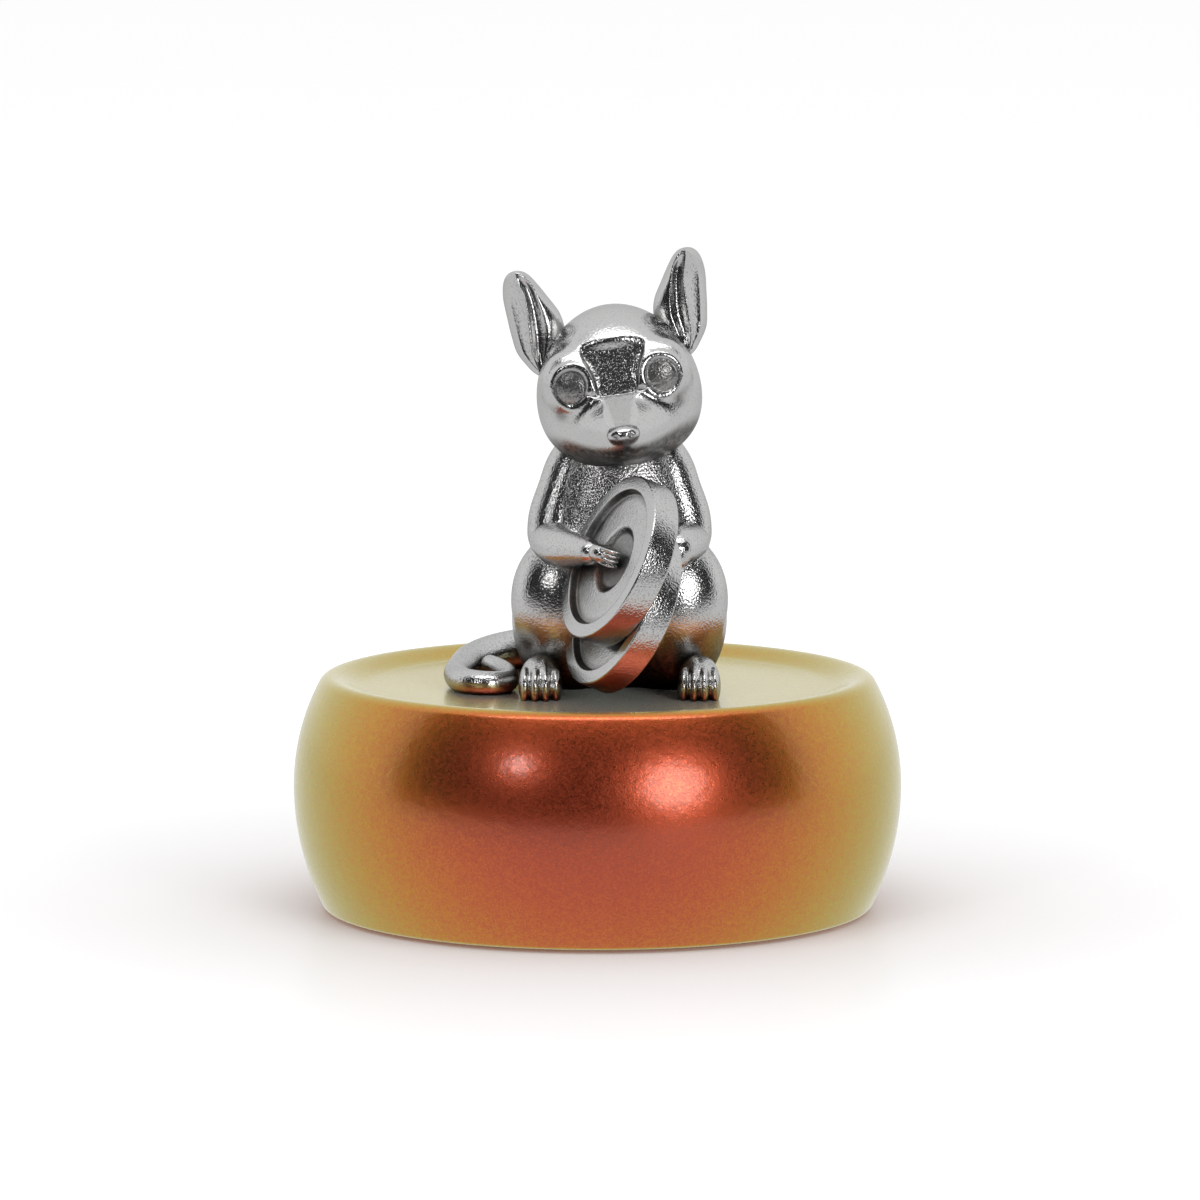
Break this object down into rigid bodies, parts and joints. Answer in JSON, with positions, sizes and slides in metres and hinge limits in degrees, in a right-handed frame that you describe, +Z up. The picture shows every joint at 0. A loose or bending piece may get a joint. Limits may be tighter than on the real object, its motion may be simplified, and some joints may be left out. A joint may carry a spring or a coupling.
{
  "type": "rat figurine",
  "caption": "Polished pewter rat sitting upright and holding coins, screwed to a round barrel-shaped base with a dished deck and colour-shift lacquer; free-standing ornament.",
  "frame": {"origin": "under the middle of the round base, on the plane that its felt pad stands on", "axes": "+Z up, -Y the way the rat faces, +X the rat's own left"},
  "size_m": [0.068, 0.068, 0.0745],
  "materials": {
    "pewter": "polished cast pewter, darkened in the creases",
    "lacquer": "colour-shift metallic lacquer, crimson to olive gold, fine flake and orange peel",
    "felt": "dense pressed felt",
    "steel": "plain zinc-plated steel"
  },
  "bodies": {
    "root": {"base_body": "lacquer", "felt_pad": "felt", "figure_screw_1": "steel", "figure_screw_2": "steel", "washer_1": "steel", "washer_2": "steel", "torso": "pewter", "head": "pewter", "ear_right": "pewter", "ear_left": "pewter", "arm_right": "pewter", "arm_left": "pewter", "hind_foot_right": "pewter", "hind_foot_left": "pewter", "tail": "pewter", "coin_front": "pewter", "coin_rear": "pewter"}
  },
  "joints": []
}
